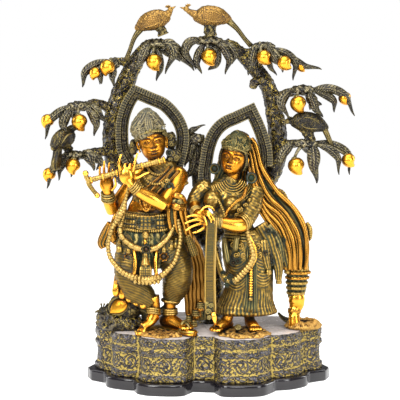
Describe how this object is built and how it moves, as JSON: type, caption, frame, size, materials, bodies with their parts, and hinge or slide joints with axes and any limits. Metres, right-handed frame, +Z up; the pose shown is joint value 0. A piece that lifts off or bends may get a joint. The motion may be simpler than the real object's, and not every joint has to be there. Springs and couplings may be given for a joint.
{
  "type": "radha krishna statue",
  "caption": "Cast brass group of a flute player and his consort under a fruiting tree arch with birds, on a lobed pedestal with a black foot.",
  "frame": {"origin": "on the resting surface under the middle of the foot", "axes": "+Z up, the viewer on the -Y side, +X to the viewer's right"},
  "size_m": [0.7406, 0.357, 0.8794],
  "materials": {
    "foot": "glossy black lacquer",
    "pedestal": "black patina with ochre brass in the recesses",
    "figure": "golden brass with green and dark patina in the folds",
    "antique": "antique black patina flecked with ochre brass",
    "bird": "tan gold brass with fine dark scales"
  },
  "bodies": {
    "root": {"foot": "foot", "pedestal": "pedestal", "krishna": "figure", "flute": "figure", "radha": "figure", "krishna_halo": "antique", "radha_halo": "antique", "tree": "antique", "leaf_bunch_centre": "antique", "leaf_bunch_lower_left": "antique", "leaf_bunch_lower_right": "antique", "leaf_bunch_middle_left": "antique", "leaf_bunch_middle_right": "antique", "leaf_bunch_top_left": "antique", "leaf_bunch_top_right": "antique", "leaf_bunch_upper_left": "antique", "leaf_bunch_upper_right": "antique", "peacock_base": "bird", "peacock_left": "bird", "peacock_right": "bird", "peacock_top_left": "bird", "peacock_top_right": "bird"}
  },
  "joints": []
}
